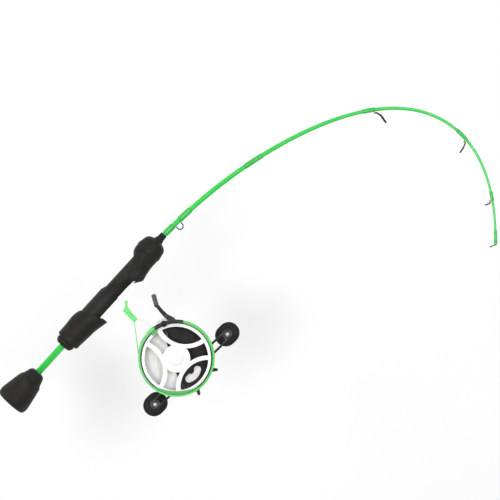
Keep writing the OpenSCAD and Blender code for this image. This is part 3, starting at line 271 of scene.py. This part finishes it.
MATERIALS = {
    "blank_green": painted("BlankGreen", colour(46, 206, 78), colour(36, 194, 66), (0.2, 0.34),
                           coat=0.5, specular=0.3),
    "wrap_green": painted("WrapGreen", colour(44, 190, 74), colour(30, 172, 56), (0.14, 0.26),
                          coat=0.7, specular=0.3),
    "soft_black": rubbery("SoftTouchBlack", colour(24, 24, 22), colour(38, 37, 35)),
    "seat_black": rubbery("BarrelBlack", colour(26, 26, 25), colour(38, 37, 36), (0.42, 0.6), 0.6, 0.03),
    "check_black": rubbery("CheckRubber", colour(24, 24, 25), colour(34, 34, 35), (0.5, 0.7), 0.3, 0.03),
    "guide_dark": metal("GuideSteel", colour(52, 52, 54), colour(34, 34, 36), (0.25, 0.42)),
    "guide_ceramic": painted("GuideCeramic", colour(30, 31, 33), colour(18, 19, 21), (0.1, 0.2), coat=0.5),
    "white_plastic": painted("WhitePlastic", colour(240, 241, 238), colour(232, 233, 230), (0.3, 0.45),
                             coat=0.15, rubbed=colour(250, 250, 248)),
    "spool_white": painted("SpoolWhite", colour(246, 247, 245), colour(240, 241, 239), (0.22, 0.36),
                           coat=0.3),
    "frame_green": frame_paint("FrameGreen"),
    "plate_black": rubbery("PlateBlack", colour(25, 26, 26), colour(34, 35, 35), (0.45, 0.62), 0.35, 0.03),
    "steel": metal("Steel", colour(176, 177, 172), colour(140, 141, 137), (0.3, 0.46)),
    "dark_steel": metal("BlackenedSteel", colour(46, 46, 48), colour(30, 30, 32), (0.25, 0.4)),
    "bearing_steel": metal("BearingSteel", colour(190, 192, 196), colour(160, 163, 168), (0.12, 0.28)),
    "spring_steel": metal("SpringSteel", colour(168, 171, 175), colour(130, 134, 139)),
    "brass": metal("Brass", colour(214, 178, 98), colour(184, 146, 72), (0.18, 0.34)),
    "drag_fibre": rubbery("DragFibre", colour(58, 48, 40), colour(78, 66, 54), (0.7, 0.85), 0.3, 0.06),
    "trigger_black": painted("TriggerBlack", colour(26, 26, 26), colour(17, 17, 17), (0.35, 0.5), coat=0.1,
                             rubbed=colour(66, 66, 67), specular=0.25),
    "pad_grey": rubbery("PadGrey", colour(64, 65, 66), colour(82, 83, 84), (0.5, 0.68), 0.35, 0.04),
    "drag_black": painted("DragBlack", colour(24, 24, 25), colour(15, 15, 16), (0.3, 0.46), coat=0.1,
                          rubbed=colour(64, 64, 66), specular=0.25),
    "knob_black": rubbery("KnobRubber", colour(20, 20, 19), colour(31, 30, 29), (0.48, 0.68), 0.4, 0.05),
}

slot_of = {part["node"]: part["material_slot"] for part in frame["record"]["subparts"]}


def dress(obj, slot):
    obj.data.materials.clear()
    obj.data.materials.append(MATERIALS[slot])


WELD_GAP = 0.002 * MM
BEVEL_ANGLE, SPLIT_ANGLE, FACETED_ANGLE = radians(35), radians(34), radians(46)


def modify(obj, kind, **settings):
    made = obj.modifiers.new(kind.title(), kind)
    for key, value in settings.items():
        setattr(made, key, value)


FACETED = {"blank", "rear_hood", "front_grip", "knob_rear", "knob_front"}
SHARP_EDGED = {
    "lock_nut": 0.25, "reel_foot": 0.3, "stem_cover_near": 0.3, "stem_cover_far": 0.3, "spool_rim": 0.12,
    "spool_web": 0.3, "back_plate": 0.25, "gear_housing": 0.3, "housing_cover": 0.4, "star_drag": 0.3,
    "crank_arm": 0.25, "crank_nut": 0.2, "trigger_pad": 0.4, "trigger_lever": 0.3, "release_yoke": 0.15,
    "arm_spacer": 0.15, "butt_cap": 0.3, "plate_screws": 0.1, "cover_screws": 0.1,
}


def soften(obj, name):
    """Joins the node's split edges, rounds its sharp ones a little and shades the rest smooth."""
    obj.data.polygons.foreach_set("use_smooth", [True] * len(obj.data.polygons))
    with bpy.context.temp_override(object=obj, active_object=obj):
        bpy.ops.mesh.customdata_custom_splitnormals_clear()
    modify(obj, "WELD", merge_threshold=WELD_GAP)
    if name in SHARP_EDGED:
        modify(obj, "BEVEL", width=SHARP_EDGED[name] * MM, segments=2, limit_method="ANGLE",
               angle_limit=BEVEL_ANGLE, use_clamp_overlap=True)
    modify(obj, "EDGE_SPLIT", split_angle=FACETED_ANGLE if name in FACETED else SPLIT_ANGLE)


for name, obj in nodes.items():
    dress(obj, slot_of[name])
    soften(obj, name)


# ---- the grip's moulded skins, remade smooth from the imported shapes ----
def mesh_object(name, points, faces, slot, body="handle"):
    mesh = bpy.data.meshes.new(name)
    mesh.from_pydata([tuple(p) for p in points], [], faces)
    mesh.polygons.foreach_set("use_smooth", [True] * len(mesh.polygons))
    obj = bpy.data.objects.new(name, mesh)
    bpy.context.scene.collection.objects.link(obj)
    dress(obj, slot)
    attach(obj, body)
    return obj


def moulded(name, source, slot, cell, shift, rounds=6):
    """A soft-edged skin: the node's shape in an even mesh, relaxed, then moved along its normals by shift."""
    raw = bpy.data.objects.new(name + "Raw", nodes[source].data.copy())
    bpy.context.scene.collection.objects.link(raw)
    modify(raw, "WELD", merge_threshold=WELD_GAP)
    modify(raw, "REMESH", mode="VOXEL", voxel_size=cell * MM)
    modify(raw, "SMOOTH", factor=0.5, iterations=rounds)
    bpy.context.view_layer.update()
    even = raw.evaluated_get(bpy.context.evaluated_depsgraph_get()).to_mesh()
    points = np.zeros(len(even.vertices) * 3)
    even.vertices.foreach_get("co", points)
    normals = np.zeros(len(even.vertices) * 3)
    even.vertices.foreach_get("normal", normals)
    points, normals = points.reshape(-1, 3), normals.reshape(-1, 3)
    points = points + normals * shift(points, normals)[:, None] * MM
    faces = [tuple(face.vertices) for face in even.polygons]
    made = mesh_object(name, points, faces, slot, nodes[source]["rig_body"])
    bpy.data.objects.remove(raw)
    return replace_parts(made, source)


def swell(value, middle, spread):
    return np.exp(-(((value - middle) / spread) ** 2))


GRIP_X0, GRIP_X1 = (c.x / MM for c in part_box("front_grip"))
GRIP_OUTSIDE_R, HOOD_OUTSIDE_R = 7.6, 10.4      # beyond these a point is on the outer face, not in the bore
RIB_HEIGHT, RIB_WIDTH, SCOOP_DEPTH, HOLLOW_DEPTH = 1.25, 2.6, 0.8, 0.35


def grip_sculpt(points, normals):
    """A raised rib on each side, from the grip's upper rear down to its beak, then up the bulb."""
    x, y, z = (points / MM).T
    outside = (np.hypot(y, z) > GRIP_OUTSIDE_R) & ((normals * points * (0, 1, 1)).sum(1) > 0)
    along = np.clip((x - GRIP_X0) / (GRIP_X1 - GRIP_X0), 0, 1)
    fall = 12.0 * np.clip((along - 0.05) / 0.5, 0, 1) ** 1.3
    rise = 14.0 * np.clip((along - 0.62) / 0.4, 0, 1)
    rib_z = 4.0 - fall + rise
    side = np.clip((np.abs(y) - 2) / 4, 0, 1)
    ends = np.clip(along / 0.12, 0, 1) * np.clip((0.92 - along) / 0.2, 0, 1)
    rib = RIB_HEIGHT * swell(z, rib_z, RIB_WIDTH)
    scoop = -SCOOP_DEPTH * swell(along, 0.72, 0.1) * swell(z, 8.0, 4.0) * (np.hypot(y, z) > 9.4)
    return np.where(outside, (rib * side + scoop) * ends, 0)


def hood_sculpt(points, normals):
    """A shallow thumb hollow along each upper flank of the hood."""
    x, y, z = (points / MM).T
    low, high = (c.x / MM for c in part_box("rear_hood"))
    along = (x - low) / (high - low)
    outside = (np.hypot(y, z) > HOOD_OUTSIDE_R) & ((normals * points * (0, 1, 1)).sum(1) > 0)
    return np.where(outside, -HOLLOW_DEPTH * swell(z, 6.5, 3.0) * swell(along, 0.42, 0.2), 0)


moulded("HoodSkin", "rear_hood", "soft_black", 0.45, hood_sculpt)
moulded("GripSkin", "front_grip", "soft_black", 0.42, grip_sculpt, 4)


def tube(name, centres, radii, slot, sides, node):
    """A closed skin round a line in the y = 0 plane, in place of a node."""
    turn = np.linspace(0, 2 * pi, sides, endpoint=False)
    along = np.gradient(centres, axis=0)
    along /= np.linalg.norm(along, axis=1)[:, None]
    lift = np.stack([-along[:, 1], along[:, 0]], axis=1)
    points = [(c[0] + r * u[0] * cos(t), r * sin(t), c[1] + r * u[1] * cos(t))
              for c, u, r in zip(centres, lift, radii)
              for t in turn]
    rings = len(centres)
    faces = [(i + j, i + (j + 1) % sides, i + sides + (j + 1) % sides, i + sides + j)
             for i in range(0, (rings - 1) * sides, sides) for j in range(sides)]
    faces += [tuple(range(sides))[::-1], tuple(range((rings - 1) * sides, rings * sides))]
    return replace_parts(mesh_object(name, points, [face[::-1] for face in faces], slot), node)


# The blank's bend, as the part has it: a turn spread evenly, and one gathered near the tip, in degrees.
BEND_EVEN, BEND_TIP, BEND_PLACE, BEND_SPREAD = 50.3, 91, 0.718, 0.085
ROD_LENGTH = 635
CHECK_LEAD = 7.45      # how far the winding check's rear is past the bend's start
BEND_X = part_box("winding_check")[0].x / MM - CHECK_LEAD
BEND_LENGTH = ROD_LENGTH - BEND_X
FRONT_R, TIP_R = 2.6, 0.95


def gather(share):
    return 1 / (1 + np.exp(-(share - BEND_PLACE) / BEND_SPREAD))


FINE = 4400
share = (np.arange(FINE) + 0.5) / FINE
heading = -np.radians(BEND_EVEN * share + BEND_TIP * (gather(share) - gather(0)))
STEP = BEND_LENGTH / FINE
LINE_S = np.arange(FINE + 1) * STEP
LINE_X = BEND_X + np.concatenate([[0], np.cumsum(STEP * np.cos(heading))])
LINE_Z = np.concatenate([[0], np.cumsum(STEP * np.sin(heading))])


def on_line(s):
    return np.stack([np.interp(s, LINE_S, LINE_X), np.interp(s, LINE_S, LINE_Z)], axis=-1) * MM


def blank_radius(s):
    return (FRONT_R + (TIP_R - FRONT_R) * s / BEND_LENGTH) * MM


THREAD, RIDGE = 0.34, 0.03      # pitch of the wound thread and height of its ridges


def wrap(name, node, start, end, height, taper=1.6):
    """Thread wound round the blank under a clear coat that tapers at both ends."""
    s = np.arange(start, end, THREAD / 4)
    ends = np.clip(np.minimum(s - start, end - s) / taper, 0, 1)
    rise = height * np.sin(ends * pi / 2) + RIDGE * np.abs(np.sin(pi * s / THREAD)) * ends
    return tube(name, on_line(s), blank_radius(s) + rise * MM, "wrap_green", 28, node)


# The blank's straight part, as the places of its rings and its radius at each, then rings along the bend.
NECK_X = REEL_X / MM + 3.4
STRAIGHT_R, RING_STEP = (3.2, 3.2, 3.02, 2.65), 1.5
straight = np.array([4, NECK_X, NECK_X + 20, BEND_X - 6])
bent = np.minimum(np.arange(0, BEND_LENGTH + 0.5, RING_STEP), BEND_LENGTH)
centres = np.concatenate([np.stack([straight, 0 * straight], axis=1) * MM, on_line(bent)])
radii = np.concatenate([STRAIGHT_R, blank_radius(bent) / MM]) * MM
tube("BlankSkin", centres, radii, "blank_green", 40, "blank")

# The wraps' ends, in mm from the bend's start or as shares of its length, and how far each stands up.
KEEPER_REAR, KEEPER_FRONT, KEEPER_HEIGHT = (15.7, 27.2), (34.4, 49.2), 0.55
BAND_SHARES, BAND_HEIGHT = (0.255, 0.3), 0.35
GUIDE_SHARES, GUIDE_LENGTHS, GUIDE_HEIGHT = (0.5575, 0.77, 0.91), (12.1, 14.3, 9.8), 0.5
TIP_FROM_END, TIP_HEIGHT, TIP_TAPER = (13, 0.3), 0.52, 1.0

wrap("WrapKeeperRear", "wrap_keeper_rear", *KEEPER_REAR, KEEPER_HEIGHT)
wrap("WrapKeeperFront", "wrap_keeper_front", *KEEPER_FRONT, KEEPER_HEIGHT)
wrap("WrapBand", "wrap_band", *(place * BEND_LENGTH for place in BAND_SHARES), BAND_HEIGHT)
for number, (place, length) in enumerate(zip(GUIDE_SHARES, GUIDE_LENGTHS), 1):
    end = place * BEND_LENGTH
    wrap(f"WrapGuide{number}", f"wrap_guide_{number}", end - length, end, GUIDE_HEIGHT)
wrap("WrapTip", "wrap_tip", *(BEND_LENGTH - back for back in TIP_FROM_END), TIP_HEIGHT, TIP_TAPER)


LINER_INSET, LINER_HOLE_R, LINER_GAP, LINER_BEVEL = 3.5, 11.7, 0.1, 0.25


def plate_liner():
    """The white moulding that closes the rest of the frame's far side, beside the back plate."""
    outer, inner, gap = RING_R / MM - LINER_INSET, LINER_HOLE_R, PLATE_EDGE - LINER_GAP
    edge_turn = atan2(EDGE_Z, EDGE_X)
    outer_half, inner_half = acos(gap / outer), acos(gap / inner)
    sweep = np.linspace(outer_half, 2 * pi - outer_half, 60)
    rim = [(outer * cos(edge_turn + a), outer * sin(edge_turn + a)) for a in sweep]
    sweep = np.linspace(2 * pi - inner_half, inner_half, 30)
    rim += [(inner * cos(edge_turn + a), inner * sin(edge_turn + a)) for a in sweep]
    low, high = (c.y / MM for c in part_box("back_plate"))
    count = len(rim)
    points = [((REEL_X / MM + x) * MM, y * MM, (REEL_Z / MM + z) * MM)
              for y in (low + LINER_GAP, high - LINER_GAP) for x, z in rim]
    faces = [tuple(range(count)), tuple(range(count, 2 * count))[::-1]]
    faces += [(i, i + count, (i + 1) % count + count, (i + 1) % count) for i in range(count)]
    liner = mesh_object("PlateLiner", points, faces, "white_plastic")
    liner.data.materials[0] = liner_paint("LinerWhite")
    modify(liner, "BEVEL", width=LINER_BEVEL * MM, segments=2, limit_method="ANGLE", angle_limit=BEVEL_ANGLE)
    modify(liner, "EDGE_SPLIT", split_angle=SPLIT_ANGLE)


plate_liner()

# ---- camera, light and ground ----
# The photograph's view: a long lens square to the rod's plane, rolled with it.
NUDGE_RIGHT, NUDGE_UP, CAMERA_DISTANCE, FOCAL_LENGTH, SENSOR_WIDTH = 0.00009, 0.00041, 2.562, 200, 36
camera = bpy.data.objects.new("Camera", bpy.data.cameras.new("Camera"))
right = Vector((0.6743, 0, -0.7385))
up = Vector((0.7385, 0, 0.6743))
camera.matrix_world = Matrix((right, up, Vector((0, -1, 0)))).transposed().to_4x4()
LOOK_AT = Vector((0.2539, 0, -0.0679)) - NUDGE_RIGHT * right - NUDGE_UP * up
camera.location = LOOK_AT + Vector((0, -CAMERA_DISTANCE, 0))
camera.data.lens = FOCAL_LENGTH
camera.data.sensor_width = SENSOR_WIDTH
camera.data.clip_end = 30
bpy.context.scene.collection.objects.link(camera)
bpy.context.scene.camera = camera

FLOOR_GAP, FLOOR_SIZE = 0.3, 9
floor_at = (LOOK_AT.x, cad_box[1][1] + FLOOR_GAP, LOOK_AT.z)
bpy.ops.mesh.primitive_plane_add(size=FLOOR_SIZE, location=floor_at, rotation=(radians(90), 0, 0))
floor = bpy.context.object
floor.name = "Floor"
s = Shader("PalePaper", Roughness=0.9, Specular_IOR_Level=0.1)
floor.data.materials.append(s.feed(Base_Color=s.ramp(s.noise(0.3), (0.3, 0.93), (0.7, 0.96)),
                                   Normal=s.bump(s.noise(0.004), 0.0002, 0.1)))
# The ground is seen only from its front, so that it doesn't hide the crank side.
back = s.node("ShaderNodeNewGeometry").outputs["Backfacing"]
clear = s.node("ShaderNodeBsdfTransparent").outputs["BSDF"]
one_sided = s.node("ShaderNodeMixShader", {0: back, 1: s.surface.outputs["BSDF"], 2: clear})
s.tree.links.new(one_sided.outputs[0], s.tree.nodes["Material Output"].inputs["Surface"])


def area_light(name, place, size, watts):
    light = bpy.data.objects.new(name, bpy.data.lights.new(name, "AREA"))
    light.data.shape = "SQUARE"
    light.data.size = size
    light.data.energy = watts
    light.location = place
    light.rotation_mode = "QUATERNION"
    light.rotation_quaternion = (LOOK_AT - light.location).to_track_quat("-Z", "Y")
    bpy.context.scene.collection.objects.link(light)


# Each light's name, place, size in metres and watts. All of them face LOOK_AT.
LIGHTS = (
    ("KeyLight", (-0.6, -1.3, 1.0), 1.1, 6),
    ("FillLight", (1.3, -1.2, 0.1), 1.2, 4),
    ("TopLight", (0.3, -0.4, 1.5), 1.0, 3),
    ("FrontLightLeft", (-0.3, -2.6, 0.2), 0.45, 15),
    ("FrontLightRight", (0.8, -2.6, -0.25), 0.45, 15),
)
for light in LIGHTS:
    area_light(*light)
WORLD_STRENGTH = 0.56
world = bpy.data.worlds.new("StudioWhite")
bpy.context.scene.world = world
world.use_nodes = True
world.node_tree.nodes["Background"].inputs["Color"].default_value = (1, 1, 1, 1)
world.node_tree.nodes["Background"].inputs["Strength"].default_value = WORLD_STRENGTH
bpy.context.scene.view_settings.view_transform = "Standard"
